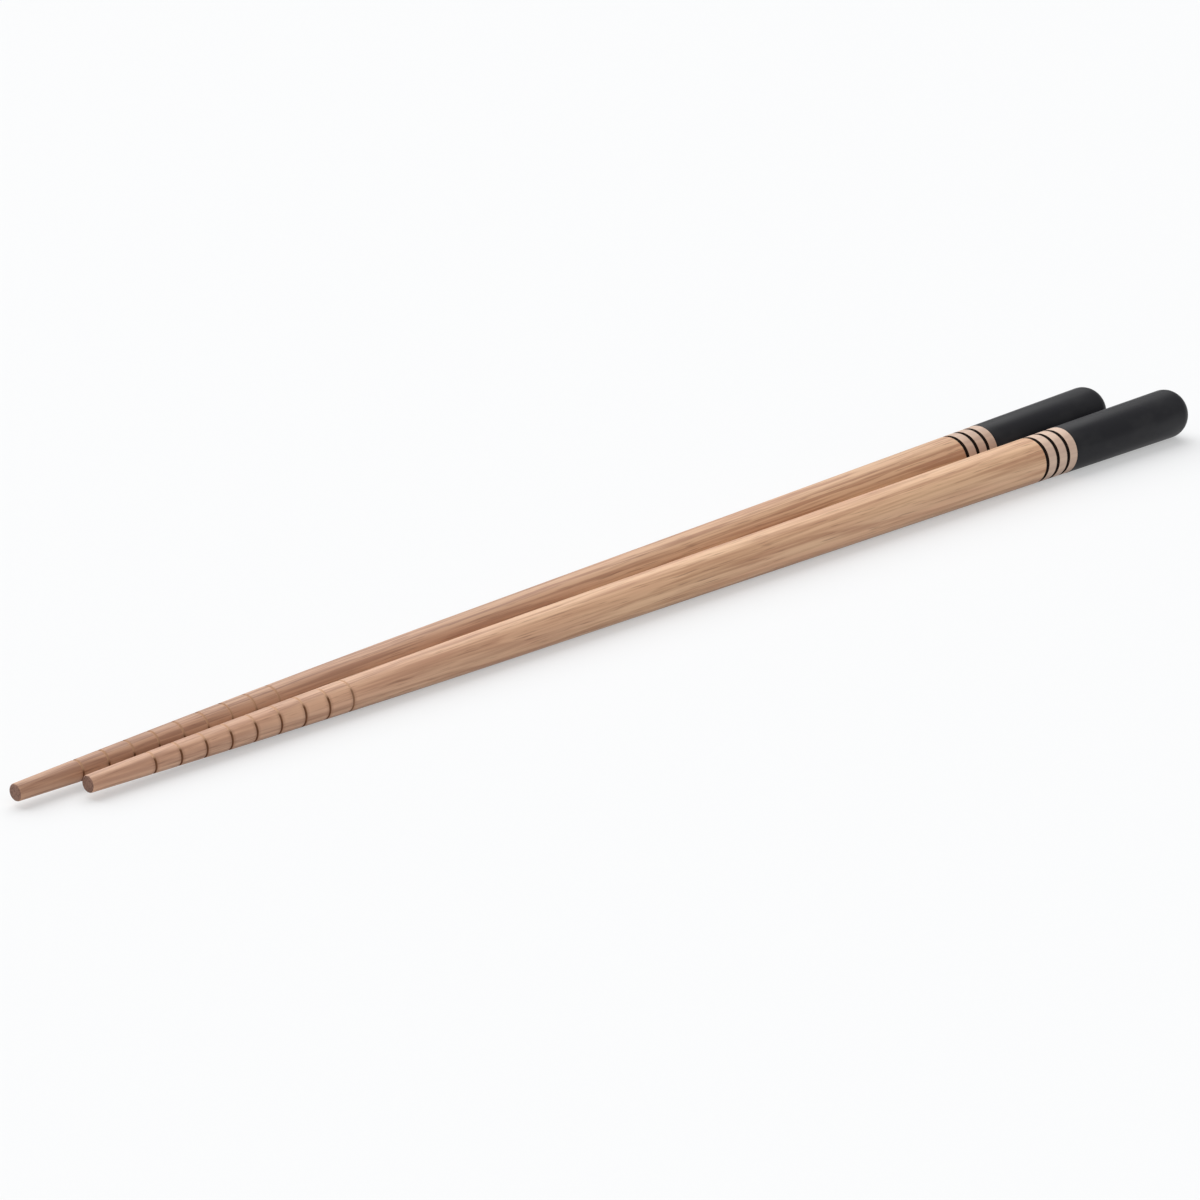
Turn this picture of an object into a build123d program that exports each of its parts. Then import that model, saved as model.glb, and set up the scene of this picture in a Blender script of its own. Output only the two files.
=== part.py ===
from build123d import *
from math import atan, cos, degrees
import os

# A pair of turned wooden chopsticks lying side by side, tips towards -X and handles towards +X.
# Each stick is one piece of wood with a round section. It swells quickly behind the tip, then runs
# on as a straight, slender cone to a domed handle end. Fine grooves round the tip give grip, and
# three rings mark the place where the lacquered handle end begins. All lengths are in millimetres.

# Form of one stick
stick_length = 225.0
tip_diameter = 2.3
tip_rounding = 0.3              # eased edge of the tip's end face
shoulder_from_tip = 78.0        # where the swelling tip runs into the straight handle
shoulder_diameter = 5.35
handle_diameter = 8.0           # of the handle's cone, measured at its end
dome_rounding = 3.0             # rounded edge of the handle's end

# Grip grooves round the tip
grip_groove_count = 9
grip_groove_width = 0.4
grip_groove_depth = 0.15
grip_groove_pitch = 4.05
first_grip_groove = 9.8         # from the tip to the first groove

# Rings in front of the lacquered handle end
lacquer_length = 31.0           # from the handle's end to the edge of the lacquer
ring_count = 3
ring_width = 0.8
ring_depth = 0.2
ring_spacing = 1.8              # bare wood between two rings, and from the last ring to the lacquer

# How the pair lies
tip_spacing = 4.25              # between the two axes, measured at the tips
splay_angle = 1.63              # degrees between the two axes, opening towards the handles
stagger = 7.9                   # how far the back stick's tip lies ahead of the front stick's

tip_radius = tip_diameter / 2
shoulder_radius = shoulder_diameter / 2
handle_radius = handle_diameter / 2
handle_slope = (handle_radius - shoulder_radius) / (stick_length - shoulder_from_tip)
knee_from_tip = shoulder_from_tip / 2
knee_radius = shoulder_radius - handle_slope * (shoulder_from_tip - knee_from_tip)


def radius_at(distance):
    """Radius of the smooth stick at a distance from its tip."""
    if distance >= shoulder_from_tip:
        return shoulder_radius + handle_slope * (distance - shoulder_from_tip)
    share = distance / shoulder_from_tip
    blend = (1 - share) ** 2 * tip_radius + 2 * share * (1 - share) * knee_radius
    return blend + share ** 2 * shoulder_radius


def groove(distance, width, depth):
    """V-shaped cut into the stick's outline; its flanks meet the surface half a width either side."""
    cutter = Polygon((0, 0), (width, 2 * depth), (-width, 2 * depth), align=None)
    return Pos(distance, radius_at(distance) - depth) * cutter


def grip_grooves():
    """The evenly spaced grooves that keep food from slipping off the tip."""
    places = [first_grip_groove + step * grip_groove_pitch for step in range(grip_groove_count)]
    return [groove(place, grip_groove_width, grip_groove_depth) for place in places]


def rings():
    """The decorative rings, counted from the edge of the lacquer towards the tip."""
    lacquer_edge = stick_length - lacquer_length
    pitch = ring_width + ring_spacing
    places = [lacquer_edge + ring_width / 2 - (step + 1) * pitch for step in range(ring_count)]
    return [groove(place, ring_width, ring_depth) for place in places]


def half_profile():
    """Outline of the smooth stick on one side of its axis, tip at the origin, as a flat face."""
    tip_face = Line((0, 0), (0, tip_radius))
    swell = Bezier((0, tip_radius), (knee_from_tip, knee_radius), (shoulder_from_tip, shoulder_radius))
    cone = Line(swell @ 1, (stick_length, handle_radius))
    end_face = Line(cone @ 1, (stick_length, 0))
    axis_line = Line(end_face @ 1, (0, 0))
    return make_face([tip_face, swell, cone, end_face, axis_line])


def turned_stick():
    """One stick about the X axis: the grooved profile turned once round."""
    stick = revolve(half_profile() - grip_grooves() - rings(), Axis.X)
    rims = stick.edges().filter_by(GeomType.CIRCLE).sort_by(Axis.X)
    stick = fillet(rims.first, tip_rounding)
    rims = stick.edges().filter_by(GeomType.CIRCLE).sort_by(Axis.X)
    return fillet(rims.last, dome_rounding)


def lying(stick):
    """The stick at rest on Z = 0, touching it along the straight underside of its handle."""
    rest_angle = atan(handle_slope)
    axis_height = (shoulder_radius - handle_slope * shoulder_from_tip) * cos(rest_angle)
    return Pos(0, 0, axis_height) * Rot(0, -degrees(rest_angle), 0) * stick


resting = lying(turned_stick())
front = Pos(stagger, -tip_spacing / 2, 0) * Rot(0, 0, -splay_angle / 2) * resting
back = Pos(0, tip_spacing / 2, 0) * Rot(0, 0, splay_angle / 2) * resting

# The origin is the middle of the pair's footprint, on the surface that it lies on.
footprint = Compound([front, back]).bounding_box()
to_origin = Pos(-footprint.center().X, -footprint.center().Y, -footprint.min.Z)

os.makedirs("parts", exist_ok=True)
export_step(to_origin * front, "parts/front_chopstick.step")
export_step(to_origin * back, "parts/back_chopstick.step")
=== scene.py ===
# %% [markdown]
# # A pair of turned wooden chopsticks
# Two slim sticks of the same pattern lie side by side on a white table. Each is one length of fine-grained
# wood, turned round: a thin tip that swells quickly, then a long straight handle with a domed end. Nine
# fine grooves round the tip give grip, three scorched rings sit near the handle, and the handle's end is
# dipped in black lacquer.
#
# The solids of the sticks are already there as a fixed frame. This lesson turns the sticks again with
# finer detail, lays them where the solids lie, and gives them wood, scorch marks and lacquer.

# %% Load the solids
from math import atan, cos, degrees, radians, sin, tau
from types import SimpleNamespace

import bmesh
import bpy
from mathutils import Matrix, Vector


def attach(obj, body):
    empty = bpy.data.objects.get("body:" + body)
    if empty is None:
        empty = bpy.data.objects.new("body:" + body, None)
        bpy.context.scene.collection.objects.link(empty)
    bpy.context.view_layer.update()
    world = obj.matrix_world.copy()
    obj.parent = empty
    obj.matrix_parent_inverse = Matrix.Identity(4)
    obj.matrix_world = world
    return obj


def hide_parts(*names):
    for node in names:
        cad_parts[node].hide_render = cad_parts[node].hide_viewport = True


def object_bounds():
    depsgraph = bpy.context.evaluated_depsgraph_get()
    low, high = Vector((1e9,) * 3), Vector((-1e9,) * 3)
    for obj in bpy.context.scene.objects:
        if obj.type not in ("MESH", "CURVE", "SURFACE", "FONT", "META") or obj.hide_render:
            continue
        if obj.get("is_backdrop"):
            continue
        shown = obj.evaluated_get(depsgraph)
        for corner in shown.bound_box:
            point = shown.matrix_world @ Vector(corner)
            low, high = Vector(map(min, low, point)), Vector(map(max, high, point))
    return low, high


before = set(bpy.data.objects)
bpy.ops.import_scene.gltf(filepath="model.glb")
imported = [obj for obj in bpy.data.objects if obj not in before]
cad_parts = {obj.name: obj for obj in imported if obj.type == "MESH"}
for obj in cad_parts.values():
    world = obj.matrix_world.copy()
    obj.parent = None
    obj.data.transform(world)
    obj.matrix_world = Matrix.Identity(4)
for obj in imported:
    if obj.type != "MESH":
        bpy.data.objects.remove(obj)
solid_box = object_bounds()
print("solids:", sorted(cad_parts))
print("their box in metres:", [round(side, 5) for side in solid_box[1] - solid_box[0]])

# %% [markdown]
# ## The turner's sizes
# A turner works from a few sizes: the length, and the diameters at the tip, shoulder and handle. The same
# few sizes drive the mesh here, so the stick can be changed in one place. Blender works in metres, so sizes
# in millimetres are multiplied by MM where they are written.

# %% Sizes of one stick
MM = 0.001
STICK_LENGTH = 225.0 * MM
TIP_RADIUS = 1.15 * MM
TIP_EASING = 0.3 * MM
SHOULDER_FROM_TIP = 78.0 * MM
SHOULDER_RADIUS = 2.675 * MM
HANDLE_RADIUS = 4.0 * MM
DOME_ROUNDING = 3.0 * MM
HANDLE_SLOPE = (HANDLE_RADIUS - SHOULDER_RADIUS) / (STICK_LENGTH - SHOULDER_FROM_TIP)
print("the handle widens by", round(2 * HANDLE_SLOPE * 100, 2), "mm in 100 mm")

# %% [markdown]
# ## Where the grooves go
# The turner marks the grip grooves from the tip, and the rings from the edge of the lacquer. Each place
# could be written down by hand, but the grooves are evenly spaced, so a first place and a pitch are enough.

# %% Places of the grooves
GRIP_GROOVES = 9
GRIP_WIDTH = 0.4 * MM
GRIP_DEPTH = 0.15 * MM
GRIP_PITCH = 4.05 * MM
FIRST_GRIP = 9.8 * MM

LACQUER_LENGTH = 31.0 * MM
LACQUER_EDGE = STICK_LENGTH - LACQUER_LENGTH
RINGS = 3
RING_WIDTH = 0.8 * MM
RING_DEPTH = 0.2 * MM
RING_SPACING = 1.8 * MM
RING_PITCH = RING_WIDTH + RING_SPACING
LAST_RING = LACQUER_EDGE - RING_SPACING - RING_WIDTH / 2

grip_places = [FIRST_GRIP + step * GRIP_PITCH for step in range(GRIP_GROOVES)]
ring_places = [LAST_RING - step * RING_PITCH for step in range(RINGS)]
print("grip grooves at", [round(place / MM, 2) for place in grip_places], "mm from the tip")
print("rings at", [round(place / MM, 2) for place in ring_places], "mm from the tip")

# %% [markdown]
# ## Half of the outline
# On a lathe, everything about a round stick is in its outline. A cylinder that is scaled and sculpted loop
# by loop would work too, but every groove would then have to be shaped all the way round. Here only half
# of the outline is drawn, as a chain of edges from the tip's middle to the handle's middle. The long edge
# behind the tip is subdivided, and its points are raised onto a smooth curve, which is the swelling tip.
# The bmesh is called pattern, because both sticks will be copies of it.

# %% Draw the plain outline
SWELL_CUTS = 40


def radius_at(along):
    """Radius of the plain stick at a distance from its tip."""
    if along >= SHOULDER_FROM_TIP:
        return SHOULDER_RADIUS + HANDLE_SLOPE * (along - SHOULDER_FROM_TIP)
    share = along / SHOULDER_FROM_TIP
    knee = SHOULDER_RADIUS - HANDLE_SLOPE * SHOULDER_FROM_TIP / 2
    return (1 - share) ** 2 * TIP_RADIUS + 2 * share * (1 - share) * knee + share ** 2 * SHOULDER_RADIUS


corners = [
    (0, 0),
    (0, TIP_RADIUS),
    (SHOULDER_FROM_TIP, SHOULDER_RADIUS),
    (STICK_LENGTH, HANDLE_RADIUS),
    (STICK_LENGTH, 0),
]
pattern = bmesh.new()
points = [pattern.verts.new((along, 0, radius)) for along, radius in corners]
edges = [pattern.edges.new(pair) for pair in zip(points, points[1:])]
bmesh.ops.subdivide_edges(pattern, edges=[edges[1]], cuts=SWELL_CUTS)
for point in pattern.verts:
    if 0 < point.co.x < SHOULDER_FROM_TIP:
        point.co.z = radius_at(point.co.x)
print("plain outline:", len(pattern.verts), "points")

# %% [markdown]
# ## Grooves
# While the stick turns on the lathe, the point of a tool cuts the grooves, so they are V-shaped, and
# sanding leaves their edges a little soft. A bump in the material could only pretend them, and the
# outline of the stick would stay straight. bisect_plane puts new points on the chain where a groove
# begins, is deepest and ends. The middle point is pushed towards the axis, and a vertex bevel eases all
# three.

# %% Cut the grooves
GROOVE_EASING = 0.06 * MM


def point_on(bm, along):
    """A new point on the outline at a distance from the tip."""
    everything = bm.verts[:] + bm.edges[:]
    cut = bmesh.ops.bisect_plane(bm, geom=everything, plane_co=(along, 0, 0), plane_no=(1, 0, 0))
    point = cut["geom_cut"][0]
    point.co.z = radius_at(along)
    return point


def ease(bm, points, offset, segments):
    """Rounds the outline at some of its points."""
    bmesh.ops.bevel(
        bm, geom=points, offset=offset, offset_type="OFFSET", segments=segments,
        profile=0.5, affect="VERTICES", material=-1,
    )


def cut_groove(bm, along, width, depth):
    """A V-shaped groove with softened edges, centred at a distance from the tip."""
    rim, bottom, other_rim = [point_on(bm, along + side * width / 2) for side in (-1, 0, 1)]
    bottom.co.z -= depth
    ease(bm, [rim, bottom, other_rim], GROOVE_EASING, segments=3)


for place in grip_places:
    cut_groove(pattern, place, GRIP_WIDTH, GRIP_DEPTH)
for place in ring_places:
    cut_groove(pattern, place, RING_WIDTH, RING_DEPTH)
print("outline with", len(grip_places) + len(ring_places), "grooves:", len(pattern.verts), "points")

# %% [markdown]
# ## Lacquer film and rounded ends
# The lacquer is a film with a thickness of its own, so the outline steps up by that much at its edge. A
# second skin over the handle would do as well, but it would hide a stick inside another. The vertex bevel
# that eased the grooves then rounds the ends: a small one at the tip, and a large one that makes the
# handle's dome.

# %% Add the film and round the ends
FILM = 0.03 * MM
FILM_EDGE = 0.06 * MM
WELD = 0.0001 * MM


def rim_at(bm, along):
    """The outline's outermost point at a distance from the tip."""
    return max((point for point in bm.verts if abs(point.co.x - along) < WELD), key=lambda point: point.co.z)


point_on(pattern, LACQUER_EDGE)
film_start = point_on(pattern, LACQUER_EDGE + FILM_EDGE)
lacquered = [point for point in pattern.verts if point.co.x >= film_start.co.x and point.co.z > 0]
bmesh.ops.translate(pattern, verts=lacquered, vec=(0, 0, FILM))
ease(pattern, [film_start], FILM_EDGE / 2, segments=2)
ease(pattern, [rim_at(pattern, 0)], TIP_EASING, segments=5)
ease(pattern, [rim_at(pattern, STICK_LENGTH)], DOME_ROUNDING, segments=16)
print("whole outline:", len(pattern.verts), "points")

# %% [markdown]
# ## Turning the outline
# spin carries the chain once round the stick's axis and leaves a skin of quads. With use_merge the last
# step closes onto the first. The two points on the axis are still one point per step, so doubles are
# merged, and then the normals are recalculated to point outwards.

# %% Turn the stick
TURN_STEPS = 96

bmesh.ops.spin(
    pattern, geom=pattern.verts[:] + pattern.edges[:], cent=(0, 0, 0), axis=(1, 0, 0), dvec=(0, 0, 0),
    angle=tau, steps=TURN_STEPS, use_merge=True,
)
bmesh.ops.remove_doubles(pattern, verts=pattern.verts[:], dist=WELD)
bmesh.ops.recalc_face_normals(pattern, faces=pattern.faces[:])
open_edges = sum(edge.is_boundary for edge in pattern.edges)
print("turned stick:", len(pattern.faces), "faces and", open_edges, "open edges")

# %% [markdown]
# ## Which face gets which finish
# While the stick still lies along X, each face is told its finish simply by its distance from the tip.
# The cut end of the tip also has to face forwards. One finish with masks for everything would work too,
# but it would be hard to read and slow to bake.

# %% Sort the faces
FINISHES = ("wood", "end grain", "grip scorch", "ring scorch", "lacquer")
WOOD, END_GRAIN, GRIP_SCORCH, RING_SCORCH, LACQUER = range(len(FINISHES))
FACES_FORWARDS = -0.7


def finish_of(face):
    """Which finish a face gets, by where its middle is."""
    along = face.calc_center_median().x
    if along >= LACQUER_EDGE:
        return LACQUER
    if along < TIP_EASING / 2 and face.normal.x < FACES_FORWARDS:
        return END_GRAIN
    if any(abs(along - place) < GRIP_WIDTH / 2 for place in grip_places):
        return GRIP_SCORCH
    if any(abs(along - place) < RING_WIDTH / 2 for place in ring_places):
        return RING_SCORCH
    return WOOD


for face in pattern.faces:
    face.material_index = finish_of(face)
    face.smooth = True
given = [face.material_index for face in pattern.faces]
print("faces of each finish:", {name: given.count(number) for number, name in enumerate(FINISHES)})

# %% [markdown]
# ## How each stick lies, and what is its own
# Each stick rests on the straight underside of its handle, so its axis climbs towards the handle by the
# slope of the cone, and its thin tip hangs just clear of the table. Seen from above, the pair opens a
# little towards the handles, and its middle is the origin. The finishes need the same values, because the
# grain has to run along the stick and not along the table.
#
# Some traits belong to one stick alone: where the heart of its tree was, how strong its stripes are, a
# painted shade on its wood at the handle and at the tip, which darkens the back stick where it lies in the
# front one's shade, between which distances from the tip the one changes into the other, and on which side
# its grip grooves are painted paler, a painted highlight where light falls. Distances are in millimetres
# there. The heart is a place across the stick, with Y and Z measured from its axis.

# %% Lay out the pair
TIP_SPACING = 4.25 * MM
STAGGER = 7.9 * MM
HALF_SPLAY = radians(1.63) / 2
RISE = atan(HANDLE_SLOPE)

reach = STICK_LENGTH * cos(RISE) * cos(HALF_SPLAY)
first_tip = -(reach + STAGGER) / 2
axis_height = (SHOULDER_RADIUS - HANDLE_SLOPE * SHOULDER_FROM_TIP) * cos(RISE)
front = SimpleNamespace(
    name="front_stick",
    node="front_chopstick",
    tip=Vector((first_tip + STAGGER, -TIP_SPACING / 2, axis_height)),
    turn=(0.0, -RISE, -HALF_SPLAY),
    heart=(26.0, -14.0),
    figure=1.0,
    tone=(1.0, 1.0, 1.0, 1.0),
    tip_shade_tone=(1.0, 1.0, 1.0, 1.0),
    used=(15, 110),
    # painted highlight: the grip grooves are painted paler on the upper side
    lit_side=(0.0, 0.0, 1.0),
)
back = SimpleNamespace(
    name="back_stick",
    node="back_chopstick",
    tip=Vector((first_tip, TIP_SPACING / 2, axis_height)),
    turn=(0.0, -RISE, HALF_SPLAY),
    heart=(24.0, 16.0),
    figure=1.6,
    # painted shade: darker wood, because the back stick lies in the front one's shade
    tone=(0.88, 0.86, 0.85, 1.0),
    tip_shade_tone=(0.79, 0.76, 0.73, 1.0),
    used=(40, 150),
    # painted highlight: the grip grooves are painted paler on the upper side, turned a little to the front
    lit_side=(0.0, -0.5, 0.87),
)
for stick in (front, back):
    print(stick.name, "has its tip at", [round(value / MM, 3) for value in stick.tip], "mm")
print("each handle climbs by", round(degrees(RISE), 3), "degrees")

# %% [markdown]
# ## A finish, node by node
# In the shader editor, nodes are added and wired by hand. In a script, a small class keeps that short.
# Finish holds a material and adds any node with a single method, which takes the node's type, its settings
# and its sockets, and gives back one output as a Thread. Thread follows in the next cell. Colours are
# written down as they are seen on a screen, and seen makes them linear, as the shader needs them.

# %% Finish and colour
class Finish:
    """A material, built up node by node."""

    def __init__(self, name):
        self.material = bpy.data.materials.new(name)
        self.material.use_nodes = True
        self.tree = self.material.node_tree
        self.tree.nodes.clear()

    def node(self, kind, settings, sockets, output=0):
        """Adds a node: settings first, then its sockets, and gives back one of its outputs."""
        made = self.tree.nodes.new(kind)
        for name, value in settings.items():
            setattr(made, name, value)
        for name, value in sockets.items():
            if isinstance(value, Thread):
                self.tree.links.new(value.socket, made.inputs[name])
            else:
                made.inputs[name].default_value = value
        return Thread(self, made.outputs[output]) if made.outputs else None

    def mix(self, share, colour, other, blend="MIX"):
        """A blend of two colours."""
        settings = {"data_type": "RGBA", "blend_type": blend}
        return self.node("ShaderNodeMix", settings, {0: share, 6: colour, 7: other}, 2)

    def surface(self, sockets):
        """Ends the finish with its shader and gives back the material."""
        shader = self.node("ShaderNodeBsdfPrincipled", {}, sockets)
        self.node("ShaderNodeOutputMaterial", {}, {"Surface": shader})
        return self.material


def seen(red, green, blue):
    """A colour as it is seen on a screen, from 0 to 255, made linear for the shader."""
    shares = [value / 255 for value in (red, green, blue)]
    linear = [s / 12.92 if s <= 0.04045 else ((s + 0.055) / 1.055) ** 2.4 for s in shares]
    return (*linear, 1.0)


print("a middle grey on the screen is", round(seen(128, 128, 128)[0], 3), "in the shader")

# %% [markdown]
# ## Writing finishes as sums
# A wood finish is mostly arithmetic on patterns, and arithmetic is easier to read as Python than as a
# picture of nodes. Thread wraps one socket, and each sum on it adds a Math node. The reflected forms are
# there so that a plain number may come first, as in 1 - mask.

# %% Sums on sockets
class Thread:
    """One socket of a finish, which can be used in sums."""

    def __init__(self, finish, socket):
        self.finish = finish
        self.socket = socket

    def math(self, operation, *values):
        return self.finish.node("ShaderNodeMath", {"operation": operation}, dict(enumerate(values)))

    def __add__(self, other):
        return self.math("ADD", self, other)

    def __radd__(self, other):
        return self.math("ADD", other, self)

    def __sub__(self, other):
        return self.math("SUBTRACT", self, other)

    def __rsub__(self, other):
        return self.math("SUBTRACT", other, self)

    def __mul__(self, other):
        return self.math("MULTIPLY", self, other)

    def __rmul__(self, other):
        return self.math("MULTIPLY", other, self)

    def __truediv__(self, other):
        return self.math("DIVIDE", self, other)

    def __rtruediv__(self, other):
        return self.math("DIVIDE", other, self)

    def __abs__(self):
        return self.math("ABSOLUTE", self)

    def fraction(self):
        return self.math("FRACT", self)

    def nearest(self):
        return self.math("ROUND", self)

    def swing(self):
        """A pattern from 0 to 1, measured from its middle, so that it swings to both sides."""
        return self - 0.5

    def held(self, low, high):
        """The value itself, but never below low or above high."""
        return self.math("MINIMUM", self.math("MAXIMUM", self, low), high)

    def between(self, low, high):
        """0 at low, 1 at high, and a smooth climb between them."""
        sockets = {"Value": self, "From Min": low, "From Max": high}
        return self.finish.node("ShaderNodeMapRange", {"interpolation_type": "SMOOTHSTEP"}, sockets)


trial = Finish("trial")
mask = 1 - trial.node("ShaderNodeTexNoise", {}, {"Scale": 5.0}) * 0.5
print("1 - noise * 0.5 takes", len(trial.tree.nodes), "nodes and ends in", mask.socket.node.operation.lower())
bpy.data.materials.remove(trial.material)

# %% [markdown]
# ## Finding one's way on a stick
# Every pattern starts from a place on the stick: how far it is from the tip, how far from the nearest
# groove, and which way it faces. A UV map could give the first, but Object coordinates that are turned
# into the stick's own direction give all of them, without a seam. Grain is noise on these coordinates,
# squeezed across the stick so that it is drawn out along it.

# %% Places and grain on a stick
def stick_place(finish, stick):
    """Place on a stick in millimetres, with X along the stick from its tip."""
    position = finish.node("ShaderNodeTexCoord", {}, {}, "Object")
    sockets = {"Vector": position, "Location": stick.tip, "Rotation": stick.turn, "Scale": (MM, MM, MM)}
    return finish.node("ShaderNodeMapping", {"vector_type": "TEXTURE"}, sockets)


def from_tip(finish, place):
    """Distance from the stick's tip in millimetres."""
    return finish.node("ShaderNodeSeparateXYZ", {}, {"Vector": place}, "X")


def across(finish, place):
    """The part of a place that lies across the stick, from its axis."""
    return finish.node("ShaderNodeVectorMath", {"operation": "MULTIPLY"}, {0: place, 1: (0, 1, 1)})


def from_groove(along, places):
    """Distance in millimetres from the nearest of some evenly spaced grooves."""
    first = places[0] / MM
    pitch = places[1] / MM - first
    step = ((along - first) / pitch).nearest().held(0, len(places) - 1)
    return abs(along - first - step * pitch)


def facing(finish, place, side):
    """1 where the stick's surface faces a side, 0 square to it, and -1 at the back."""
    outward = finish.node("ShaderNodeVectorMath", {"operation": "NORMALIZE"}, {0: across(finish, place)})
    return finish.node("ShaderNodeVectorMath", {"operation": "DOT_PRODUCT"}, {0: outward, 1: side}, "Value")


def grain(finish, place, length, width, detail=2.0):
    """A noise that is drawn out along the stick, about this many millimetres long and wide."""
    scale = (1 / length, 1 / width, 1 / width)
    stretched = finish.node("ShaderNodeMapping", {"vector_type": "POINT"}, {"Vector": place, "Scale": scale})
    return finish.node("ShaderNodeTexNoise", {}, {"Vector": stretched, "Scale": 1.0, "Detail": detail})


trial = Finish("trial")
grain(trial, stick_place(trial, front), length=10, width=1)
print("grain on a stick takes", len(trial.tree.nodes), "nodes")
bpy.data.materials.remove(trial.material)

# %% [markdown]
# ## Tree rings
# Each year a tree grows pale early wood and then browner late wood, which ends sharply where the next year
# begins. An image of wood would stretch on a tapering stick. Here the rings are worked out in space: the
# heart of the tree is a few centimetres to one side, so the stick cuts through the years as it would on the
# lathe, and the stripes run round it without a seam. A slow drift bends the rings, and the fibres fray them.

# %% Years in the wood
YEAR = 1.3
DRIFT = 4
FRAYING = 0.5
LATE_COMES = (0.2, 0.9)
LATE_ENDS = (0.92, 1.0)


def late_wood(finish, place, stick, fibre):
    """1 in the late wood of each year, and 0 in the early wood."""
    sockets = {0: across(finish, place), 1: (0, *stick.heart)}
    from_heart = finish.node("ShaderNodeVectorMath", {"operation": "DISTANCE"}, sockets, "Value")
    drift = grain(finish, place, length=60, width=5)
    year = ((from_heart + drift * DRIFT + fibre * FRAYING) / YEAR).fraction()
    return year.between(*LATE_COMES) * (1 - year.between(*LATE_ENDS))


print("the handle is about", round(2 * HANDLE_RADIUS / MM / YEAR), "years thick")

# %% [markdown]
# ## Where the grip grooves are painted paler
# On the upper side of each stick, where light falls, the grip grooves are painted a paler wood, a painted
# highlight, and the browned wood beside them is left out there. The last groove also got less heat than
# the others. The wood and the grooves both need to know this, because the heat also browns the wood
# beside a groove.

# %% The painted lit side of the grip grooves
LIT_WITHIN = 30
UNLIT_BEYOND = 55
LAST_GRIP_RAW = 0.3


def lit_side_or_last_groove(finish, place, stick):
    """1 on the side where a stick's grip grooves are painted paler, a painted highlight, some in the last
    groove, and else 0.
    """
    limits = [cos(radians(angle)) for angle in (UNLIT_BEYOND, LIT_WITHIN)]
    side = facing(finish, place, stick.lit_side).between(*limits)
    last = from_tip(finish, place).between(grip_places[-2] / MM, grip_places[-1] / MM)
    return (side + last * LAST_GRIP_RAW).held(0, 1)


# painted highlight: the grip grooves are painted paler on these sides
for stick in (front, back):
    print(stick.name, "is hardly burnt within", LIT_WITHIN, "degrees of", stick.lit_side)

# %% [markdown]
# ## Wood
# The wood is close and straight in its grain: stripes about a millimetre wide, drawn out by fine fibres,
# with short dark pores and a pink tint here and there. The tip is duller and browner from use, the bands
# between the rings are sanded paler, and beside each grip groove the heat has browned the wood, except on
# the side with the painted highlight. Each stick's wood also gets a painted shade, multiplied in at the end,
# which darkens the back stick where it lies in the front one's shade. One colour after another is laid over
# the last, each with its own mask and share, so a layer can be changed without touching the rest.

# %% Wood finish
PALE_WOOD = seen(221, 181, 144)
LATE_WOOD = seen(184, 138, 105)
PALE_TIP = seen(207, 165, 136)
LATE_TIP = seen(168, 127, 103)
PINK_WOOD = seen(205, 152, 122)
PORE = seen(128, 84, 58)
BAND_WOOD = seen(207, 184, 168)
TOASTED = seen(140, 92, 62)
LATE_SHARE = 0.45
FIBRE_SHARE = 1.1
PINK_SHARE = 0.35
PORE_SHARE = 0.5
BAND_SHARE = 0.7
BAND_EDGE = 0.1
TOASTED_SHARE = 0.35
TOASTED_FADES = (0.2, 0.7)
FIBRE_RELIEF = 0.6
WOOD_ROUGHNESS = 0.5
FIBRE_ROUGHNESS = 0.25


def wood(stick):
    """Wood of one stick, with the rings of its tree."""
    finish = Finish(stick.name + "_wood")
    place = stick_place(finish, stick)
    along = from_tip(finish, place)
    fibre = grain(finish, place, length=16, width=0.3, detail=3)
    streak = grain(finish, place, length=26, width=0.6)
    pore = grain(finish, place, length=6, width=0.26)
    tint = grain(finish, place, length=30, width=2.5)

    late = late_wood(finish, place, stick, fibre)
    streaked = streak.between(0.3, 0.7)
    brown = late * LATE_SHARE + streaked * (1 - LATE_SHARE) + fibre.swing() * FIBRE_SHARE
    stripe = brown.swing() * stick.figure
    handle = along.between(*stick.used)
    pale = finish.mix(handle, PALE_TIP, PALE_WOOD)
    dark = finish.mix(handle, LATE_TIP, LATE_WOOD)
    colour = finish.mix(stripe.between(-0.5, 0.5), pale, dark)
    colour = finish.mix(tint.between(0.4, 0.7) * PINK_SHARE, colour, PINK_WOOD)
    colour = finish.mix(pore.between(0.58, 0.74) * PORE_SHARE, colour, PORE)

    first_ring = ring_places[-1] / MM
    band = along.between(first_ring, first_ring + BAND_EDGE)
    colour = finish.mix(band * BAND_SHARE, colour, BAND_WOOD)
    beside_groove = 1 - from_groove(along, grip_places).between(*TOASTED_FADES)
    # painted highlight: the browned wood beside the grooves is left out on the lit side
    heat = beside_groove * (1 - lit_side_or_last_groove(finish, place, stick))
    colour = finish.mix(heat * TOASTED_SHARE, colour, TOASTED)
    # painted shade: the stick's tones multiply the colour, darkest towards the tip of the back stick
    tone = finish.mix(handle, stick.tip_shade_tone, stick.tone)
    colour = finish.mix(1.0, colour, tone, "MULTIPLY")

    relief = fibre * FIBRE_RELIEF + pore * (1 - FIBRE_RELIEF)
    bump = finish.node("ShaderNodeBump", {}, {"Height": relief, "Strength": 0.35, "Distance": 0.06 * MM})
    roughness = WOOD_ROUGHNESS + fibre.swing() * FIBRE_ROUGHNESS
    return finish.surface({"Base Color": colour, "Roughness": roughness, "Normal": bump})


wood_finishes = [wood(stick) for stick in (front, back)]
print("wood nodes:", [len(finish.node_tree.nodes) for finish in wood_finishes])

# %% [markdown]
# ## End of the tip
# At the tip the fibres are cut across. They drink in more oil there, so the small round face is darker
# and duller than the sides. The same tree rings would be far too pale for it, so it has its own finish:
# a fine speckle of cut pores on a darker brown.

# %% End grain finish
END_WOOD = seen(146, 110, 93)
END_PORE = seen(92, 63, 51)
SPECK_SHARE = 0.7


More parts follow.
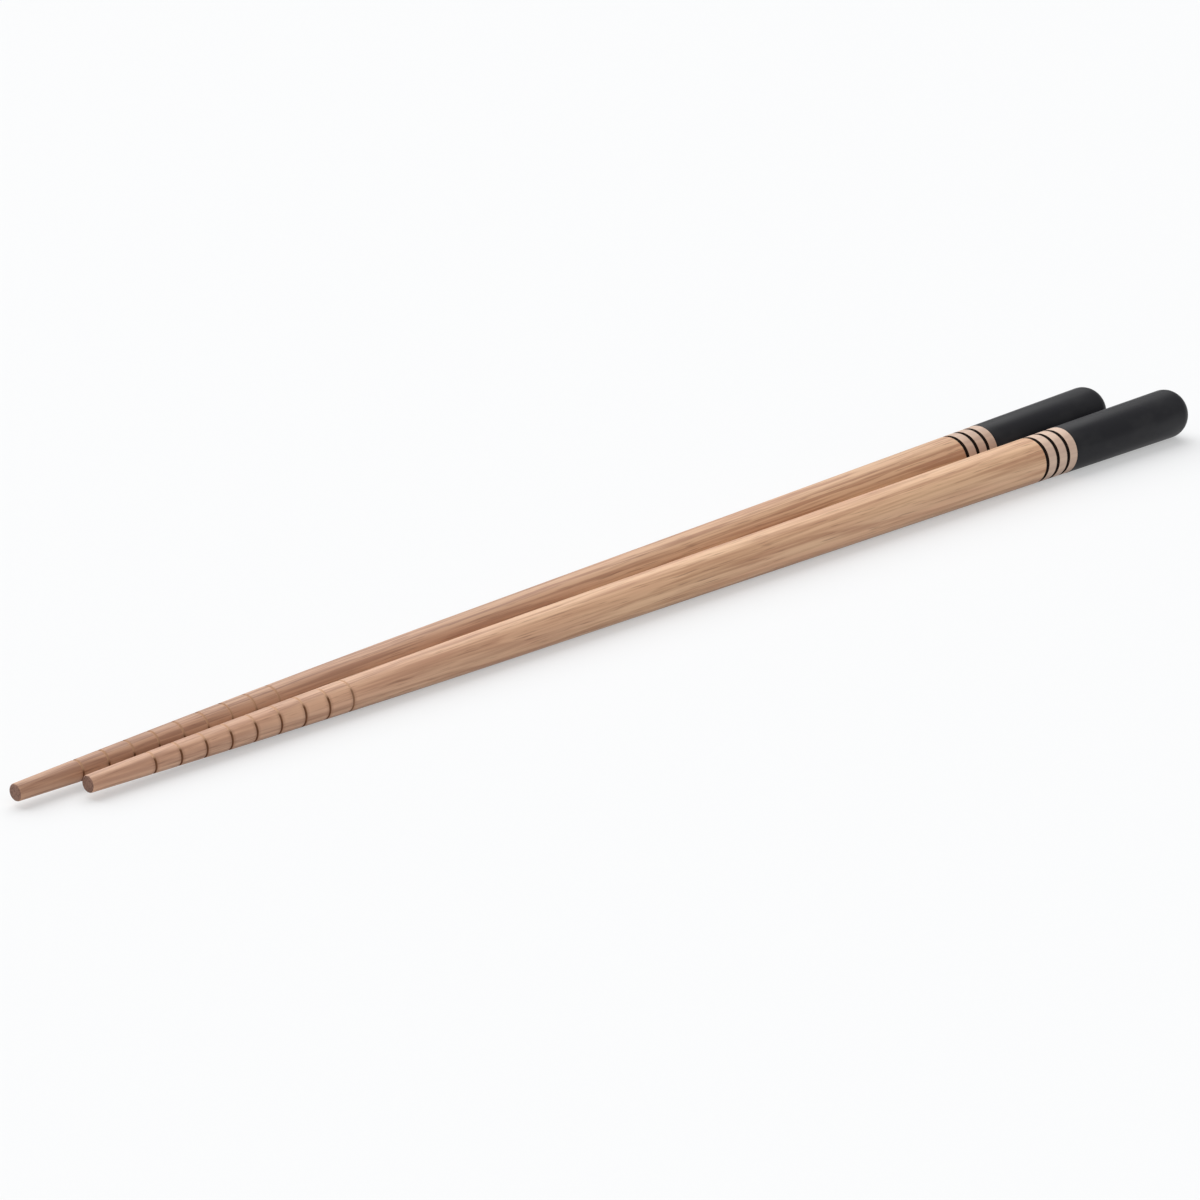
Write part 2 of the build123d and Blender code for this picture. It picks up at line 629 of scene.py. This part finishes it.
def end_grain():
    """Cut fibres on the round face of a tip."""
    finish = Finish("end_grain")
    position = finish.node("ShaderNodeTexCoord", {}, {}, "Object")
    speck = finish.node("ShaderNodeTexNoise", {}, {"Vector": position, "Scale": 6000.0, "Detail": 2.0})
    cloud = finish.node("ShaderNodeTexNoise", {}, {"Vector": position, "Scale": 900.0, "Detail": 1.0})
    share = speck.between(0.42, 0.7) * SPECK_SHARE + cloud.between(0.4, 0.7) * (1 - SPECK_SHARE)
    colour = finish.mix(share, END_WOOD, END_PORE)
    bump = finish.node("ShaderNodeBump", {}, {"Height": speck, "Strength": 0.4, "Distance": 0.04 * MM})
    return finish.surface({"Base Color": colour, "Roughness": 0.7, "Normal": bump})


tip_finish = end_grain()
print("end grain nodes:", len(tip_finish.node_tree.nodes))

# %% [markdown]
# ## Scorched grooves
# After cutting, the grooves are burnt, the rings nearly black and the grip grooves only brown. A plain
# brown would look painted. The colour is darkest at a groove's bottom and lightest at its rims, and the
# edge of the burn is never quite even, so the distance from the groove's middle is stirred with a soft
# noise and then sets the colour. On the side of the stick where light falls, a grip groove is painted a
# paler wood instead, a painted highlight, and the last groove shows some of that pale wood, as it got less
# heat. The pale wood is darkened by the stick's painted shade at the tip.

# %% Scorch finishes
GRIP_CHAR = seen(104, 70, 50)
GRIP_SINGED = seen(152, 109, 82)
RING_CHAR = seen(18, 11, 8)
RING_SINGED = seen(46, 29, 21)
RAW_AND_LIT_WOOD = seen(200, 161, 132)
UNEVEN_BURN = 1.2
CHAR_FADES = (0.25, 1.2)


def burn(finish, place, places, width, char, singed):
    """Colour of burnt wood in some grooves: char at the bottom, singed at the rims."""
    patch = grain(finish, place, length=1.2, width=1.2, detail=3)
    from_middle = from_groove(from_tip(finish, place), places) / (width / 2 / MM)
    stirred = from_middle + patch.swing() * UNEVEN_BURN
    return finish.mix(stirred.between(*CHAR_FADES), char, singed)


def charred(finish, colour):
    """Ends a scorch finish with the dull, dry surface of burnt wood."""
    return finish.surface({"Base Color": colour, "Roughness": 0.85, "Specular IOR Level": 0.1})


def grip_scorch(stick):
    """Brown grip grooves, painted paler on the side where light falls."""
    finish = Finish(stick.name + "_grips")
    place = stick_place(finish, stick)
    burnt = burn(finish, place, grip_places, GRIP_WIDTH, GRIP_CHAR, GRIP_SINGED)
    # painted highlight: a paler wood on the lit side, and partly in the last groove
    raw_and_lit = [colour * tone for colour, tone in zip(RAW_AND_LIT_WOOD, stick.tip_shade_tone)]
    return charred(finish, finish.mix(lit_side_or_last_groove(finish, place, stick), burnt, raw_and_lit))


def ring_scorch(stick):
    """Rings that are burnt nearly black all round."""
    finish = Finish(stick.name + "_rings")
    place = stick_place(finish, stick)
    return charred(finish, burn(finish, place, ring_places, RING_WIDTH, RING_CHAR, RING_SINGED))


grip_finishes = [grip_scorch(stick) for stick in (front, back)]
ring_finishes = [ring_scorch(stick) for stick in (front, back)]
print("scorch nodes:", [len(finish.node_tree.nodes) for finish in grip_finishes + ring_finishes])

# %% [markdown]
# ## Black lacquer
# The handle's end is dipped in black lacquer that dries to a dull satin film. A plain black would look like
# a hole in the picture. The film is thin enough for the fibres beneath to show as a very fine unevenness,
# and handling has polished it in places, so the roughness varies a little while the colour hardly does.

# %% Lacquer finish
LACQUER_BLACK = seen(39, 39, 42)
LACQUER_WORN = seen(46, 46, 48)
FILM_ROUGHNESS = 0.35
HANDLING_ROUGHNESS = 0.16
FIBRES_BENEATH = 0.1


def lacquer(stick):
    """Satin black film over the wood of one handle."""
    finish = Finish(stick.name + "_lacquer")
    place = stick_place(finish, stick)
    fibre = grain(finish, place, length=9, width=0.35, detail=3)
    handling = grain(finish, place, length=6, width=3)
    colour = finish.mix(handling.between(0.45, 0.75), LACQUER_BLACK, LACQUER_WORN)
    roughness = FILM_ROUGHNESS + handling.swing() * HANDLING_ROUGHNESS + fibre.swing() * FIBRES_BENEATH
    bump = finish.node("ShaderNodeBump", {}, {"Height": fibre, "Strength": 0.2, "Distance": 0.02 * MM})
    satin = {"Base Color": colour, "Roughness": roughness, "Specular IOR Level": 0.08, "Normal": bump}
    return finish.surface(satin)


lacquer_finishes = [lacquer(stick) for stick in (front, back)]
print("lacquer nodes:", [len(finish.node_tree.nodes) for finish in lacquer_finishes])

# %% [markdown]
# ## Two sticks from one pattern
# Both sticks are copies of the turned pattern. Only the finishes differ, as no two blanks come from the
# same place in a tree. The copy is moved to its place with a transform of its mesh and not through the
# object, so each object stays at the origin. Each stick stands for its solid and rides on the part's only
# body.

# %% Make the sticks
def lay_stick(stick, finishes):
    """Copies the pattern, lays the copy at its place, and lets it stand for its solid."""
    bm = pattern.copy()
    climb = Matrix.Rotation(stick.turn[1], 4, "Y")
    splay = Matrix.Rotation(stick.turn[2], 4, "Z")
    bmesh.ops.transform(bm, matrix=Matrix.Translation(stick.tip) @ splay @ climb, verts=bm.verts[:])
    mesh = bpy.data.meshes.new(stick.name)
    bm.to_mesh(mesh)
    bm.free()
    for finish in finishes:
        mesh.materials.append(finish)
    piece = bpy.data.objects.new(stick.name, mesh)
    bpy.context.scene.collection.objects.link(piece)
    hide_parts(stick.node)
    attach(piece, "root")
    print(piece.name, len(mesh.vertices), "points,", len(mesh.polygons), "faces")


for number, stick in enumerate((front, back)):
    scorched = [grip_finishes[number], ring_finishes[number]]
    lay_stick(stick, [wood_finishes[number], tip_finish, *scorched, lacquer_finishes[number]])
pattern.free()

# %% [markdown]
# ## Table
# The sticks lie on a plain white table that fills the picture. It is one large face just below them, at
# the depth of the lacquer film, so that the film isn't cut. Light alone would have to be very strong to
# turn it white, and would bleach the wood. So the table stays a pale grey that lights the sticks from
# below, and only where it is looked at, directly or in the lacquer, it is mixed with some plain white.

# %% Lay the table
TABLE_HALF = 6.0
TABLE_WHITE = seen(226, 227, 228)
TABLE_LIFT = 0.4


def table_white():
    """Matt white that is lifted towards pure white where it is seen, and lights the sticks as it is."""
    finish = Finish("table_white")
    sockets = {"Base Color": TABLE_WHITE, "Roughness": 0.9, "Specular IOR Level": 0.1}
    matt = finish.node("ShaderNodeBsdfPrincipled", {}, sockets)
    glow = finish.node("ShaderNodeEmission", {}, {"Strength": 1.0})
    rays = ("Is Camera Ray", "Is Glossy Ray", "Is Transmission Ray")
    camera_ray, glossy_ray, clear_ray = [finish.node("ShaderNodeLightPath", {}, {}, ray) for ray in rays]
    share = (camera_ray + glossy_ray + clear_ray) * TABLE_LIFT
    lifted = finish.node("ShaderNodeMixShader", {}, {0: share, 1: matt, 2: glow})
    finish.node("ShaderNodeOutputMaterial", {}, {"Surface": lifted})
    return finish.material


def table_top():
    """A wide, plain table top under the sticks."""
    bm = bmesh.new()
    bmesh.ops.create_grid(bm, x_segments=1, y_segments=1, size=TABLE_HALF)
    bmesh.ops.translate(bm, verts=bm.verts[:], vec=(0, 0, -FILM))
    mesh = bpy.data.meshes.new("table_top")
    bm.to_mesh(mesh)
    bm.free()
    mesh.materials.append(table_white())
    return bpy.data.objects.new("table_top", mesh)


table = table_top()
bpy.context.scene.collection.objects.link(table)
table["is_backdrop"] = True
print("table top is", 2 * TABLE_HALF, "m across")

# %% [markdown]
# ## Light
# The light is that of a small product studio. One very wide softbox stands high behind the sticks. It
# lights their tops, draws a soft line of light along the lacquer, and throws a short soft shadow towards
# the viewer. A weaker reflector in front keeps the near sides from going dull, and an even, pale room does
# the rest. Sun lamps with a large angle work as softboxes, because they light the whole table evenly.

# %% Light the table
ROOM_LIGHT = 0.37


def direction(turn, height):
    """Where something stands, seen from the sticks: a turn round them, and a height over the table."""
    return Vector((-sin(turn) * cos(height), cos(turn) * cos(height), sin(height)))


def lamp(name, turn, height, width, power):
    """A wide, even lamp that stands far off, with its place and width in degrees."""
    made = bpy.data.objects.new(name, bpy.data.lights.new(name, "SUN"))
    made.data.energy = power
    made.data.angle = radians(width)
    made.rotation_mode = "QUATERNION"
    made.rotation_quaternion = (-direction(radians(turn), radians(height))).to_track_quat("-Z", "Y")
    bpy.context.scene.collection.objects.link(made)
    return made


softbox = lamp("softbox", turn=-18, height=57, width=78, power=2.85)
reflector = lamp("reflector", turn=155, height=42, width=50, power=0.55)

room = bpy.data.worlds.new("room")
room.use_nodes = True
room.node_tree.nodes["Background"].inputs["Color"].default_value = (1, 1, 1, 1)
room.node_tree.nodes["Background"].inputs["Strength"].default_value = ROOM_LIGHT
bpy.context.scene.world = room
for light in (softbox.data, reflector.data):
    print(light.name, round(light.energy, 2), "strong and", round(degrees(light.angle)), "degrees wide")

# %% [markdown]
# ## Camera
# The camera looks along the sticks from the tips, low over the table, with a long lens. A long lens keeps
# the two sticks almost parallel, and the low view lets the black ends lift off the white table.

# %% Place the camera
CAMERA_TURN = radians(-46.51)
CAMERA_TILT = radians(18.76)
CAMERA_AIM = Vector((-9.80, 4.655, 0)) * MM
CAMERA_DISTANCE = 531.46 * MM
FOCAL_PIXELS = 3730.9
PICTURE_PIXELS = 1200
SENSOR_WIDTH = 36.0

camera = bpy.data.objects.new("camera", bpy.data.cameras.new("camera"))
camera.data.sensor_width = SENSOR_WIDTH
camera.data.lens = SENSOR_WIDTH * FOCAL_PIXELS / PICTURE_PIXELS
looking = direction(CAMERA_TURN, -CAMERA_TILT)
camera.location = CAMERA_AIM - looking * CAMERA_DISTANCE
camera.rotation_mode = "QUATERNION"
camera.rotation_quaternion = looking.to_track_quat("-Z", "Y")
bpy.context.scene.collection.objects.link(camera)
bpy.context.scene.camera = camera
bpy.context.scene.view_settings.view_transform = "Standard"
print("lens", round(camera.data.lens, 2), "mm at", [round(value, 4) for value in camera.location])

# %% Compare the boxes and finish
dressed_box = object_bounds()
differences = [abs(side) for a, b in zip(solid_box, dressed_box) for side in b - a]
print("largest difference in mm:", round(max(differences) / MM, 3))
